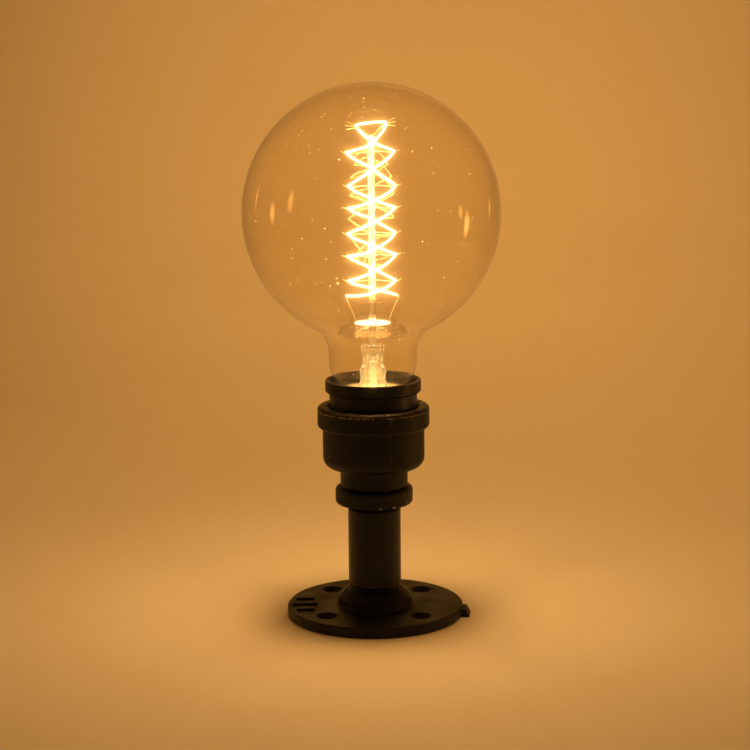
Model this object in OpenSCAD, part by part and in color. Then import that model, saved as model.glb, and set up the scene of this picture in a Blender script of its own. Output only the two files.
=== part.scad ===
// Pipe wall light: a cast floor flange, a short pipe and a bell reducer carry a lampholder
// with a large clear globe bulb. Millimetres, +Z from the wall to the bulb, origin at the
// centre of the flange's mounting face.

/* [Flange] */
// Diameter of the flange plate
flange_d = 87; // [82:1:110]
// Thickness of the plate
flange_t = 5.2; // [4.2:0.1:6]
// Height of the hub's top above the wall
hub_h = 13; // [12.5:0.5:24]
// Hub wall round the pipe at the top
hub_top_wall = 1.6; // [1.4:0.1:2.6]
// Hub wall round the pipe at the plate
hub_base_wall = 5.5; // [5:0.1:6]
// Fillet between the hub and the plate
hub_fillet = 1.5; // [1:0.1:1.8]
// Pitch circle of the wall screws
screw_pcd = 64; // [61:1:66]
// Number of wall screws
screw_count = 4; // [3:1:6]
// Diameter of the through holes
screw_d = 6.5; // [4:0.5:7]
// Diameter of the countersinks
screw_head_d = 11; // [9:0.5:12]
// Width of the casting gate left on the edge
gate_w = 9; // [5:0.5:14]
// Length of the casting gate beyond the edge
gate_l = 3.8; // [2:0.1:6]
// Direction of the casting gate, degrees from +X
gate_angle = -7; // [-30:1:30]
// Height of the raised casting bars
bar_h = 0.9; // [0.3:0.1:1.2]
// Length of the middle casting bar
bar_l = 12.5; // [8:0.5:14]
// Width of a casting bar
bar_w = 3.4; // [2:0.1:4]
// Distance between the casting bars
bar_step = 9; // [6:0.5:11]
// Direction of the casting bars, degrees from +X
bar_angle = 183; // [164:1:196]

/* [Pipe] */
// Outer diameter of the pipe
pipe_od = 26; // [24:0.5:30]
// Wall of the pipe
pipe_wall = 2.5; // [2:0.1:3.5]
// Length of pipe between the hub and the reducer
pipe_show = 43.5; // [30:0.5:150]
// Setback of the pipe's end from the wall
pipe_setback = 1.5; // [1:0.1:3]
// Pitch of the pipe threads
pipe_pitch = 1.8; // [1.4:0.1:2.4]
// Depth of the pipe threads
pipe_thread = 0.8; // [0.5:0.1:1]
// Thread that stays in sight at each fitting
thread_show = 3.6; // [1:0.1:5]
// Radial clearance of the pipe threads
thread_gap = 0.08; // [0.05:0.01:0.15]

/* [Reducer] */
// Height of the lower band
low_band_h = 8.6; // [6:0.1:12]
// How far both bands stand proud
band_proud = 2.5; // [1:0.1:4]
// Rounding of the bands' edges
band_round = 1.9; // [0.5:0.1:2.2]
// Iron wall round the pipe
neck_wall = 3.6; // [2.5:0.1:5]
// Height of the neck above the lower band
neck_h = 7.6; // [6:0.1:12]
// Rounding of the shoulder
shoulder_round = 5.5; // [3:0.1:7]
// Fillet under the shoulder
shoulder_fillet = 1.8; // [1:0.1:3]
// Height of the body between the shoulder's foot and the upper band
body_h = 22; // [19:0.5:30]
// Height of the upper band
top_band_h = 10.8; // [7:0.1:14]
// Iron wall round the lampholder
body_wall = 3; // [2.4:0.1:5]
// Depth of the pipe socket
socket_depth = 15; // [13:0.5:17]
// Chamfer of the mouth
mouth_chamfer = 1; // [0.5:0.1:1.6]
// Height of the parting ridge left by the mould
parting_h = 0.25; // [0.1:0.05:0.4]
// Width of the parting ridge
parting_w = 0.9; // [0.5:0.1:1.6]
// Direction of the parting ridge, degrees from +X
parting_angle = -72; // [-90:1:-45]
// Diameter of the two grub screws
grub_d = 4; // [3:0.5:5]

/* [Lampholder] */
// Diameter of the lampholder's casing
holder_d = 43; // [42:0.5:50]
// Clearance between the casing and the reducer
holder_gap = 0.5; // [0.3:0.1:1]
// Height of the casing above the reducer
holder_show = 12.9; // [11:0.1:18]
// Height of the casing's lip
lip_h = 6; // [4:0.1:8]
// Wall of the lip at its edge
lip_wall = 1.3; // [1:0.1:2.5]
// Clearance between the lip and the bulb's neck
neck_gap = 0.6; // [0.5:0.1:2]
// Wall of the casing
skirt_wall = 2.6; // [2:0.1:3.2]
// Height of the base's threaded spigot
spigot_h = 6; // [4:0.5:8]
// Thickness of the base's floor
base_floor = 2.5; // [2:0.1:3.5]
// Diameter of the wire hole in the base
wire_hole_d = 9; // [8:0.5:10]
// Height of the terminal blocks
terminal_h = 3.8; // [3.4:0.1:5]
// Thickness of the ceramic core's floor
core_floor = 3; // [2.5:0.1:4]
// Wall of the ceramic core
core_wall = 1.8; // [1.4:0.1:2.4]
// Height of the screw shell
shell_h = 20; // [17:0.5:22]
// Clearance between pieces that are pushed together
fit_gap = 0.2; // [0.1:0.05:0.3]
// Thickness of the contact sheet metal
sheet_t = 0.5; // [0.3:0.1:0.7]
// Width of the centre contact
leaf_w = 5; // [4:0.5:6]

/* [Wires] */
// Diameter of the insulated wires
wire_d = 2.4; // [1.8:0.1:2.6]
// Wall of the insulating sleeve
sleeve_wall = 0.5; // [0.4:0.1:0.8]
// Diameter of a bare wire end
core_d = 1.2; // [0.8:0.1:1.4]

/* [Lamp cap] */
// Mean radius of the cap's round thread
cap_r = 12.6; // [12:0.1:13.2]
// Half depth of the round thread
cap_wave = 0.5; // [0.3:0.05:0.6]
// Pitch of the round thread
cap_pitch = 3.629; // [3:0.1:4.2]
// Radial clearance of the round thread
cap_gap = 0.45; // [0.4:0.05:0.6]
// Height of the cap from its contact to its rim
cap_h = 26.5; // [25:0.5:29]
// Thickness of the cap's sheet
cap_sheet = 0.4; // [0.3:0.05:0.6]
// Radius of the cap's flared rim
rim_r = 13.3; // [13:0.1:14]
// Radius of the cap's solder contact
tip_r = 4.8; // [3.5:0.1:6]

/* [Bulb] */
// Diameter of the globe
globe_d = 125; // [115:1:150]
// Height of the globe's fillet over the cap
neck_rise = 18.9; // [17:0.1:30]
// Diameter of the bulb's neck
neck_d = 43.2; // [40:0.2:44]
// Wall of the glass
glass_t = 0.9; // [0.6:0.1:1.5]
// Fillet between the neck and the globe
globe_fillet = 14; // [8:1:20]
// Height of the rounded shoulder over the cap
glass_shoulder = 16; // [13:0.5:18]
// Radius of the glass stem's tube
stem_r = 5.5; // [4.5:0.1:7]
// Height of the stem above the cap's rim
stem_h = 23.5; // [20:0.5:26]
// Thickness of the stem's flat pinch
pinch_t = 4.5; // [3:0.1:5.5]
// Height of the stem's flat pinch
pinch_h = 8; // [6:0.5:10]
// Radius of the glass rod
rod_r = 1.5; // [1:0.1:2]
// Radius of the heat disc
disc_r = 8.8; // [7:0.1:10]
// Thickness of the heat disc
disc_t = 0.6; // [0.4:0.1:1]
// Height of the heat disc above the stem
disc_lift = 10; // [7:0.5:13]
// Diameter of the lead-in wires
lead_d = 0.6; // [0.4:0.1:0.8]

/* [Filament] */
// Radius of the filament's spiral at its hooks
coil_r = 12.8; // [10:0.1:15]
// Diameter of the filament
filament_d = 0.7; // [0.5:0.1:1]
// Half turns of each of the two strands
half_turns = 7; // [3:2:9]
// Height of the filament's ends above the heat disc
filament_lift = 13.5; // [10:0.5:18]
// Height of the first half turn over the lead-in wires
first_rise = 6.4; // [5:0.1:9]
// Distance of the filament's top from the globe's top
filament_drop = 20.5; // [16:0.5:28]
// Half width of the loop at the top
loop_r = 7.5; // [5:0.1:10]
// Diameter of the support hooks
hook_d = 0.4; // [0.3:0.1:0.6]

/* [Hidden] */

$fn = 96;
// Overshoot that lets a cut pass cleanly through a face
cut = 1;
// Room left where two pieces only lie against each other
seat_gap = 0.05;
// Angle of the first wall screw
screw_angle = 43;
// Small break of moulded and cast edges
edge_break = 0.6;
// Chamfers where a pipe enters a fitting, and at the pipe's own ends
entry_chamfer = 0.8;
pipe_chamfer = 0.5;
// Rounding of the edges of the hub's slope
hub_round = 1;
// Plain plate between the casting bars and the flange's edge
bar_margin = 2.5;

// Pipework: radii and heights
pipe_r = pipe_od / 2;
bore_r = pipe_r - pipe_wall;
hub_top_r = pipe_r + hub_top_wall;
hub_base_r = pipe_r + hub_base_wall;
reducer_z = hub_h + pipe_show;
neck_r = pipe_r + neck_wall;
low_band_r = neck_r + band_proud;
band_edge = min(band_round, band_proud - fit_gap);
neck_z = reducer_z + low_band_h;
shoulder_z = neck_z + neck_h;
top_band_z = shoulder_z + body_h;
reducer_top = top_band_z + top_band_h;
socket_z = reducer_z + socket_depth;
pipe_top = socket_z - pipe_setback;
holder_r = holder_d / 2;
cavity_r = holder_r + holder_gap;
body_r = cavity_r + body_wall;
top_band_r = body_r + band_proud;

// Lampholder: heights from the seat in the reducer upward
// seat_slope is the cone's rise over its widening, foot_step the ring under the base's foot
seat_slope = 1.1;
foot_step = 1.8;
collar_h = 0.8;
leaf_rise = 2.1;
tip_gap = 0.35;
throat_r = pipe_r - pipe_thread;
seat_r = throat_r + foot_step;
base_z = socket_z + (seat_r - throat_r) * seat_slope;
cone_top = base_z + (holder_r - seat_r) * seat_slope;
floor_z = base_z + base_floor;
core_z = floor_z + terminal_h + fit_gap;
skirt_z = cone_top + collar_h;
core_top = core_z + core_floor;
tip_z = core_top + sheet_t + leaf_rise + tip_gap;
spigot_r = holder_r - skirt_wall + fit_gap;
lip_top = reducer_top + holder_show;
lip_z = lip_top - lip_h;
neck_out = neck_d / 2;
lip_in = neck_out + neck_gap;
lip_r = lip_in + lip_wall;
shell_r = cap_r + cap_gap;
shell_out = shell_r + cap_wave + sheet_t;
core_in = shell_out + 2 * fit_gap;
core_r = core_in + core_wall;
ledge_w = 2.2;
ledge_r = core_r - ledge_w;

// Small brass parts in the lampholder
terminal_w = 6;
terminal_l = 6.2;
terminal_x = 6.4;
terminal_room = 1;
rivet_r = 0.9;
rivet_head_r = 1.6;
rivet_head_h = 0.7;
rivet_tail = 1;
clamp_d = 2;
clamp_head_d = 3.2;
clamp_head_h = 1.4;
slot_w = 0.5;
leaf_margin = 0.4;
leaf_root = 7.4;
leaf_bend = leaf_root - rivet_head_r - leaf_margin;
shell_open_r = 9.4;
shell_rivet_at = (shell_open_r + shell_r) / 2;
shell_rivet_angles = [0, 115, 245];
terminal_z = core_z - terminal_h / 2;

// Bulb: heights from the contact upward
seal_l = 11;
rim_gap = 0.4;
tip_h = 1.2;
thread_lift = 5.2;
thread_run_in = 1;
flare_h = 3.2;
stem_flare_h = 12;
// Lead-in wires stand this far inside the stem's edge and bend over this height
lead_inset = 2;
lead_bend = 2.5;
rod_drop = 5.2;
button_h = 2;
button_rim = 0.7;
globe_r = globe_d / 2;
rim_z = tip_z + cap_h;
seal_r = cap_r - cap_wave - cap_sheet - fit_gap;
seal_z = rim_z - seal_l;
shoulder_z0 = rim_z + rim_gap;
fillet_z = shoulder_z0 + neck_rise;
globe_z = fillet_z + sqrt(pow(globe_r + globe_fillet, 2) - pow(neck_out + globe_fillet, 2));
bulb_top = globe_z + globe_r;
thread_sides = 30;
thread_rows = 5;
thread_z = tip_z + thread_lift;
insulator_z = tip_z + tip_h;
pinch_top = rim_z + stem_h;
disc_z = pinch_top + disc_lift;
filament_top = bulb_top - filament_drop;
filament_z = disc_z + filament_lift;
filament_h = filament_top - filament_z;
rod_top = filament_top - rod_drop;
quarters = 2 * half_turns;
quarter_rise = (filament_h - first_rise) / (quarters - 2);

// Wires run down the back of the pipe and come to the middle under the lampholder
wire_spread = 0.9;
sleeve_gap = 0.3;
wall_gap = 0.4;
wire_x = wire_d / 2 + wire_spread;
sleeve_in = wire_x + wire_d / 2 + sleeve_gap;
sleeve_out = sleeve_in + sleeve_wall;
wire_y = -(bore_r - sleeve_out - wall_gap);
wire_slack = 0.6;
bare_x = terminal_x - 2 * seat_gap;
wire_end_z = 9;
sleeve_start = 4;
sleeve_z0 = hub_h + sleeve_start;
sleeve_z1 = reducer_z;
ferrule_l = 6;
ferrule_collar_h = 2.2;
ferrule_collar_wall = 0.2;

// Points on an arc about c from angle a0 to a1 in n steps
function arc(c, r, a0, a1, n) =
    [for (i = [0 : n]) c + r * [cos(a0 + (a1 - a0) * i / n), sin(a0 + (a1 - a0) * i / n)]];

// Zigzag outline of ring threads, from z upward over the length, crest at r
function rings(r, z, length, gap) =
    [for (i = [0 : floor(length / pipe_pitch) * 2])
        [r + gap - (i % 2) * pipe_thread, z + i * pipe_pitch / 2]];

function flip(points) = [for (i = [len(points) - 1 : -1 : 0]) points[i]];

// Unit vector along a path at point i
function along(path, i) =
    let (d = path[min(i + 1, len(path) - 1)] - path[max(i - 1, 0)]) d / norm(d);

// One unbroken tube along a path; side is a direction that the path never takes
module tube(path, r, sides, side) {
    n = len(path);
    points = [for (i = [0 : n - 1])
        let (t = along(path, i), u0 = cross(side, t), u = u0 / norm(u0), v = cross(t, u))
        for (k = [0 : sides - 1])
            path[i] + r * (u * cos(360 * k / sides) + v * sin(360 * k / sides))];
    walls = [for (i = [0 : n - 2], k = [0 : sides - 1], h = [0, 1])
        let (a = i * sides + k, b = i * sides + (k + 1) % sides)
        h == 0 ? [a, a + sides, b] : [b, a + sides, b + sides]];
    start = [for (k = [1 : sides - 2]) [0, k, k + 1]];
    last = (n - 1) * sides;
    end = [for (k = [1 : sides - 2]) [last, last + k + 1, last + k]];
    polyhedron(points, concat(walls, start, end));
}

// Radius of a round thread's surface. limit is the end radius that the wave fades to.
function wave(r, z, angle, z0, z1, limit) =
    let (fade = max(0, min(1, (z - z0) / cap_pitch * 2, (z1 - z) / cap_pitch * 2)))
    limit + fade * (r + cap_wave * cos(360 * z / cap_pitch - angle) - limit);

// Sheet metal sleeve with a rolled round thread between z0 and z1, from bottom to top
module round_thread(r, limit, inside, z_low, z0, z1, z_high, top_r) {
    sides = thread_sides;
    rows = ceil((z1 - z0) / cap_pitch * thread_rows);
    levels = concat([z_low], [for (i = [0 : rows]) z0 + (z1 - z0) * i / rows],
        [(z1 + z_high) / 2, z_high]);
    m = len(levels);
    shapes = [for (shift = [0, inside], z = levels, k = [0 : sides - 1])
        let (a = 360 * k / sides, q = shift + (z > z1 ? top_r : wave(r, z, a, z0, z1, limit)))
        [q * cos(a), q * sin(a), z]];
    s = sides;
    outer = inside < 0;
    quads = [for (i = [0 : m - 2], k = [0 : s - 1], h = [0, 1])
        let (a = i * s + k, b = i * s + (k + 1) % s)
        h == 0 ? [a, a + s, b] : [b, a + s, b + s]];
    off = m * s;
    backs = [for (f = quads) [f[0] + off, f[2] + off, f[1] + off]];
    top = (m - 1) * s;
    low_rim = [for (k = [0 : s - 1], h = [0, 1])
        let (b = (k + 1) % s) h == 0 ? [k, b, k + off] : [b, b + off, k + off]];
    top_rim = [for (k = [0 : s - 1], h = [0, 1])
        let (a = top + k, b = top + (k + 1) % s)
        h == 0 ? [a, a + off, b] : [b, a + off, b + off]];
    faces = concat(quads, backs, low_rim, top_rim);
    polyhedron(shapes, outer ? faces : [for (f = faces) [f[0], f[2], f[1]]]);
}

// Cylinder from one point to another
module strut(a, b, r) {
    d = b - a;
    translate(a)
        rotate([0, acos(d[2] / norm(d)), atan2(d[1], d[0])])
            cylinder(h = norm(d), r = r, $fn = 24);
}

// Outline of a band with rounded outer edges, against the axis side at r_in
function band(r_in, r_out, z0, z1) = concat(
    [[r_in, z0]],
    arc([r_out - band_edge, z0 + band_edge], band_edge, -90, 0, 6),
    arc([r_out - band_edge, z1 - band_edge], band_edge, 0, 90, 6),
    [[r_in, z1]]);

module floor_flange() {
    edge_r = flange_d / 2;
    slope_z = hub_h - (hub_base_r - hub_top_r);
    bend = hub_round * tan(22.5);
    profile = concat(
        [[pipe_r / 2, 0], [edge_r - edge_break, 0], [edge_r, edge_break]],
        [[edge_r, flange_t - edge_break], [edge_r - edge_break, flange_t]],
        arc([hub_base_r + hub_fillet, flange_t + hub_fillet], hub_fillet, -90, -180, 5),
        arc([hub_base_r - hub_round, slope_z - bend], hub_round, 0, 45, 3),
        arc([hub_top_r - bend, hub_h - hub_round], hub_round, 45, 90, 3),
        [[pipe_r / 2, hub_h]]);
    thread = concat(
        [[0, -cut], [pipe_r + cut + entry_chamfer, -cut], [pipe_r + entry_chamfer, 0]],
        rings(pipe_r, pipe_setback, hub_h - pipe_setback - entry_chamfer, thread_gap),
        [[pipe_r + thread_gap, hub_h - pipe_chamfer], [pipe_r + pipe_chamfer, hub_h],
            [pipe_r + pipe_chamfer, hub_h + cut], [0, hub_h + cut]]);
    sink_h = (screw_head_d - screw_d) / 2;
    color("#23201d") difference() {
        union() {
            rotate_extrude() polygon(profile);
            rotate(gate_angle) gate();
            casting_bars();
        }
        rotate_extrude() polygon(thread);
        for (i = [0 : screw_count - 1]) rotate(screw_angle + 360 * i / screw_count)
            translate([screw_pcd / 2, 0, 0]) {
                translate([0, 0, -cut]) cylinder(h = flange_t + 2 * cut, d = screw_d);
                translate([0, 0, flange_t - sink_h])
                    cylinder(h = sink_h, d1 = screw_d, d2 = screw_head_d);
                translate([0, 0, flange_t]) cylinder(h = bar_h + cut, d = screw_head_d);
            }
    }
}

// Wedge that is left where the iron ran into the mould
module gate() {
    r = flange_d / 2;
    root = r - gate_l;
    top = flange_t - 2 * edge_break;
    rotate([90, 0, 0]) translate([0, 0, -gate_w / 2])
        linear_extrude(gate_w)
            polygon([[root, 0], [r + gate_l, 0], [r + gate_l, edge_break],
                [r + gate_l / 2, top], [root, top]]);
}

// Three plain raised bars on the plate's left
module casting_bars() {
    shorter = 0.3;
    middle = (flange_d - bar_l) / 2 - bar_margin;
    rotate(bar_angle) for (i = [-1 : 1]) {
        length = bar_l * (1 - abs(i) * shorter);
        translate([middle - length / 2, i * bar_step - bar_w / 2, flange_t / 2])
            cube([length, bar_w, flange_t / 2 + bar_h]);
    }
}

module pipe_nipple() {
    low_thread = rings(pipe_r, pipe_setback, hub_h + thread_show - pipe_setback, 0);
    top_thread = [for (p = flip(rings(pipe_r, 0, pipe_top - reducer_z + thread_show, 0)))
        [p[0], pipe_top - p[1]]];
    profile = concat(
        [[bore_r + pipe_chamfer, pipe_setback]], low_thread, top_thread,
        [[bore_r + pipe_chamfer, pipe_top], [bore_r, pipe_top - pipe_chamfer],
            [bore_r, pipe_setback + pipe_chamfer]]);
    color("#292522") rotate_extrude() polygon(profile);
}

module bell_reducer() {
    crown = [body_r - shoulder_round, shoulder_z + shoulder_round + shoulder_fillet];
    foot = [neck_r + shoulder_fillet, shoulder_z];
    outside = concat(
        band(bore_r, low_band_r, reducer_z, neck_z),
        [[neck_r, neck_z + edge_break]],
        arc(foot, shoulder_fillet, 180, 90, 4),
        arc(crown, shoulder_round, -90, 0, 6),
        [[body_r, top_band_z]],
        band(body_r, top_band_r, top_band_z, reducer_top),
        [[bore_r, reducer_top]]);
    top_rings = [for (p = flip(rings(pipe_r, 0, pipe_top - reducer_z - entry_chamfer, thread_gap)))
        [p[0], pipe_top - p[1]]];
    seat_h = (cavity_r - throat_r) * seat_slope;
    inside = concat(
        [[0, reducer_z - cut], [pipe_r + entry_chamfer, reducer_z - cut],
            [pipe_r + entry_chamfer, reducer_z], [pipe_r + thread_gap, reducer_z + pipe_chamfer]],
        top_rings,
        [[throat_r, socket_z], [cavity_r, socket_z + seat_h],
            [cavity_r, reducer_top - mouth_chamfer], [cavity_r + mouth_chamfer, reducer_top],
            [cavity_r + mouth_chamfer, reducer_top + cut],
            [0, reducer_top + cut]]);
    color("#24211e") difference() {
        union() {
            rotate_extrude() polygon(outside);
            for (a = [0, 180]) rotate(parting_angle + a) parting_ridge();
        }
        rotate_extrude() polygon(inside);
        grub_holes(grub_d / 2 + seat_gap);
    }
}

// Low ridge along the plain parts of the casting, where the mould halves met
module parting_ridge() {
    root = 2 * parting_h;
    for (s = [[low_band_r, reducer_z + band_edge, neck_z - band_edge],
            [neck_r, neck_z - root, shoulder_z + root],
            [body_r, shoulder_z + shoulder_round + shoulder_fillet, top_band_z + root],
            [top_band_r, top_band_z + band_edge, reducer_top - band_edge]])
        translate([s[0] - root, -parting_w / 2, s[1]])
            cube([root + parting_h, parting_w, s[2] - s[1]]);
}

// Two radial holes across the upper band
module grub_holes(r) {
    for (a = [0, 180]) rotate(a)
        translate([holder_r - cut, 0, top_band_z + top_band_h / 2])
            rotate([0, 90, 0]) cylinder(h = top_band_r - holder_r + 2 * cut, r = r, $fn = 32);
}

// Slotted grub screws that press on the lampholder's casing
module grub_screws() {
    length = top_band_r - holder_r - 2 * seat_gap - parting_h;
    color("#4a4744") for (a = [0, 180]) rotate(a)
        translate([holder_r + seat_gap, 0, top_band_z + top_band_h / 2])
            rotate([0, 90, 0]) difference() {
                cylinder(h = length, d = grub_d, $fn = 32);
                translate([-grub_d, -slot_w / 2, length - cut]) cube([2 * grub_d, slot_w, 2 * cut]);
            }
}

module holder_base() {
    color("#1c1a18") rotate_extrude() polygon([
        [wire_hole_d / 2, base_z], [seat_r - fit_gap, base_z], [holder_r - fit_gap, cone_top],
        [holder_r, cone_top + fit_gap], [holder_r, skirt_z], [spigot_r, skirt_z],
        [spigot_r, skirt_z + spigot_h - edge_break], [spigot_r - edge_break, skirt_z + spigot_h],
        [core_r + fit_gap, skirt_z + spigot_h], [core_r + fit_gap, core_z], [ledge_r, core_z],
        [terminal_x + terminal_l + terminal_room, floor_z], [wire_hole_d / 2, floor_z]]);
}

module holder_skirt() {
    in_r = core_r + 2 * fit_gap;
    step_z = skirt_z + spigot_h + fit_gap;
    color("#1e1b19") rotate_extrude() polygon(concat(
        [[spigot_r + fit_gap, skirt_z], [holder_r, skirt_z], [holder_r, lip_z - edge_break],
            [lip_r - edge_break, lip_z], [lip_r, lip_z + edge_break]],
        arc([lip_r - edge_break, lip_top - edge_break], edge_break, 0, 90, 3),
        [[lip_in, lip_top], [in_r, core_top + shell_h],
            [in_r, step_z], [spigot_r + fit_gap, step_z]]));
}

module holder_core() {
    color("#e6dfd0") difference() {
        translate([0, 0, core_z]) cylinder(h = core_floor + shell_h - edge_break, r = core_r);
        translate([0, 0, core_top]) cylinder(h = shell_h + cut, r = core_in);
        for (p = concat(shell_rivet_places(), [[-leaf_root, 0]])) rivet_hole(p, core_z, core_floor);
    }
}

// Hole for a rivet through a sheet or floor that starts at z
module rivet_hole(place, z, thickness) {
    translate([place[0], place[1], z - cut])
        cylinder(h = thickness + 2 * cut, r = rivet_r + seat_gap, $fn = 24);
}

// One rivet feeds the neutral terminal, the two others only hold the shell
function shell_rivet_places() =
    [for (a = shell_rivet_angles) shell_rivet_at * [cos(a), sin(a)]];

module screw_shell() {
    top = core_top + shell_h;
    wide = shell_r + cap_wave;
    color("#c9a96a") union() {
        round_thread(shell_r, wide, sheet_t, core_top, core_top + cap_pitch / 2, top - edge_break, top, wide);
        difference() {
            translate([0, 0, core_top]) cylinder(h = sheet_t, r = wide + sheet_t / 2, $fn = thread_sides);
            translate([0, 0, core_top - cut]) cylinder(h = sheet_t + 2 * cut, r = shell_open_r);
            for (p = shell_rivet_places()) rivet_hole(p, core_top, sheet_t);
        }
    }
}

// Shank with a head on the sheet and a tail that reaches into what it holds below
module rivet() {
    head_z = core_top + sheet_t;
    translate([0, 0, core_z - rivet_tail]) cylinder(h = head_z - core_z + rivet_tail, r = rivet_r, $fn = 24);
    translate([0, 0, head_z]) cylinder(h = rivet_head_h, r = rivet_head_r, $fn = 24);
}

module shell_rivets() {
    color("#b8945a") for (p = shell_rivet_places())
        translate([p[0], p[1], 0]) rivet();
}

module contact_rivet() {
    color("#b8945a") translate([-leaf_root, 0, 0]) rivet();
}

// Flat end of the contact strip under its rivet
module contact_foot() {
    foot_l = shell_open_r - leaf_margin - leaf_bend;
    color("#cfae6c") difference() {
        translate([-leaf_bend - foot_l, -leaf_w / 2, core_top]) cube([foot_l, leaf_w, sheet_t]);
        rivet_hole([-leaf_root, 0], core_top, sheet_t);
    }
}

// Springy tongue of the strip: rises to the middle and turns down at its free end
module centre_contact() {
    x = -leaf_bend + fit_gap;
    z = core_top + fit_gap / 2;
    up = core_top + leaf_rise;
    flat = tip_r / 2;
    end = [tip_r - edge_break, up - edge_break];
    tongue = [[x, z], [-flat, up], [flat, up], end, end + [0, sheet_t],
        [flat, up + sheet_t], [-flat, up + sheet_t], [x, z + sheet_t]];
    color("#cfae6c") rotate([90, 0, 0]) translate([0, 0, -leaf_w / 2])
        linear_extrude(leaf_w) polygon(tongue);
}

// Brass block under the core with a wire hole from the middle and a clamp screw from the side
module terminal(side, rivet_x) {
    color("#c39a52") difference() {
        translate([side * (terminal_x + terminal_l / 2), 0, terminal_z])
            cube([terminal_l, terminal_w, terminal_h], center = true);
        translate([side * (terminal_x - cut), 0, terminal_z]) rotate([0, side * 90, 0])
            cylinder(h = terminal_l - edge_break + cut, d = core_d + 2 * seat_gap, $fn = 24);
        translate([rivet_x, 0, core_z - rivet_tail - seat_gap])
            cylinder(h = rivet_tail + seat_gap + cut, r = rivet_r + seat_gap, $fn = 24);
        translate([side * (terminal_x + terminal_l / 2), -terminal_w / 2 - cut, terminal_z])
            rotate([-90, 0, 0]) cylinder(h = (terminal_w - core_d) / 2 + cut - fit_gap,
                d = clamp_d + 2 * seat_gap, $fn = 24);
    }
}

module live_terminal() {
    terminal(-1, -leaf_root);
}

module neutral_terminal() {
    terminal(1, shell_rivet_at);
}

module terminal_screws() {
    color("#d8cfa8") for (side = [-1, 1])
        translate([side * (terminal_x + terminal_l / 2), 0, terminal_z]) rotate([90, 0, 0]) difference() {
            union() {
                translate([0, 0, core_d / 2 + fit_gap + seat_gap])
                    cylinder(h = (terminal_w - core_d) / 2, d = clamp_d, $fn = 24);
                translate([0, 0, terminal_w / 2 + seat_gap])
                    cylinder(h = clamp_head_h, d = clamp_head_d, $fn = 24);
            }
            translate([-clamp_head_d, -slot_w / 2, terminal_w / 2 + clamp_head_h / 2])
                cube([2 * clamp_head_d, slot_w, clamp_head_h]);
        }
}

// Route of one wire: up the back of the pipe, to the middle, then out to its terminal
function wire_route(side) =
    let (turn_x = bare_x - wire_slack, turn_z = base_z + wire_slack)
    concat(
        [[side * wire_x, wire_y, wire_end_z], [side * wire_x, wire_y, sleeve_z0]],
        [for (i = [0 : 4]) let (t = i / 4)
            [side * wire_x, wire_y * (1 + cos(180 * t)) / 2, sleeve_z1 + t * (base_z - sleeve_z1)]],
        [for (a = [0 : 30 : 90])
            [side * (turn_x - (turn_x - wire_x) * cos(a)), 0, turn_z + (terminal_z - turn_z) * sin(a)]],
        [[side * bare_x, 0, terminal_z]]);

// Insulation along the route, and the bare end in the terminal
module wire(side) {
    tube(wire_route(side), wire_d / 2, 8, [0, 1, 0]);
    translate([side * bare_x, 0, terminal_z]) rotate([0, side * 90, 0])
        cylinder(h = terminal_l - 2 * edge_break, d = core_d, $fn = 24);
}

module live_wire() {
    color("#7a4a2a") wire(-1);
}

module neutral_wire() {
    color("#3d5f8f") wire(1);
}

module wire_sleeve() {
    color("#d9d4c8") translate([0, wire_y, sleeve_z0]) difference() {
        cylinder(h = sleeve_z1 - sleeve_z0, r = sleeve_out);
        translate([0, 0, -cut]) cylinder(h = sleeve_z1 - sleeve_z0 + 2 * cut, r = sleeve_in);
    }
}

// Crimped ends of the two wires behind the flange
module wire_ferrules() {
    color("#c9c9c4") for (side = [-1, 1])
        translate([side * wire_x, wire_y, wire_end_z - seat_gap - ferrule_l]) {
            cylinder(h = ferrule_l, d = core_d, $fn = 24);
            translate([0, 0, ferrule_l - ferrule_collar_h])
                cylinder(h = ferrule_collar_h, d = wire_d + 2 * ferrule_collar_wall, $fn = 24);
        }
}

// Outline of the bulb's glass, moved inward by the given amount
function glass_outline(inward) =
    let (r = globe_r - inward, n = neck_out - inward, q = globe_fillet + inward,
        s = seal_r - inward, high = glass_shoulder - inward,
        meet = atan2(fillet_z - globe_z, n + q))
    concat(
        [[s, seal_z], [s, shoulder_z0 + inward]],
        [for (a = [80 : -10 : 0]) [s + (n - s) * cos(a), shoulder_z0 + glass_shoulder - high * sin(a)]],
        arc([n + q, fillet_z], q, 180, 180 + meet, 6),
        arc([0, globe_z], r, meet + 4, 90, 28));

module bulb_globe() {
    color("#d9a766", 0.35) rotate_extrude()
        polygon(concat(glass_outline(0), flip(glass_outline(glass_t))));
}

// Outline of the flare at the stem's foot, moved inward by the given amount
function stem_flare(inward) =
    let (wide = seal_r - glass_t - seat_gap - stem_r)
    [for (i = [0 : 4]) let (t = i / 4)
        [stem_r + wide * pow(1 - t, 2) - inward, seal_z + t * stem_flare_h]];

// Flared tube with a flat pinch on top
module bulb_stem() {
    dome_z = pinch_top - pinch_h;
    color("#e8d5b0", 0.5) union() {
        rotate_extrude() polygon(concat(
            stem_flare(0),
            [[stem_r, dome_z], [stem_r - glass_t, dome_z + glass_t], [0, dome_z + glass_t],
                [0, dome_z], [stem_r - glass_t, dome_z]],
            flip(stem_flare(glass_t))));
        intersection() {
            translate([-stem_r, -pinch_t / 2, dome_z + glass_t / 2])
                cube([2 * stem_r, pinch_t, pinch_h - glass_t / 2]);
            translate([0, 0, dome_z]) cylinder(h = pinch_h, r = stem_r - edge_break / 2);
        }
    }
}

module support_rod() {
    color("#f0e2c4", 0.6) union() {
        translate([0, 0, pinch_top]) cylinder(h = rod_top - pinch_top, r = rod_r);
        translate([0, 0, rod_top - button_h / 2]) cylinder(h = button_h, r = rod_r + button_rim);
    }
}

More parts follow.
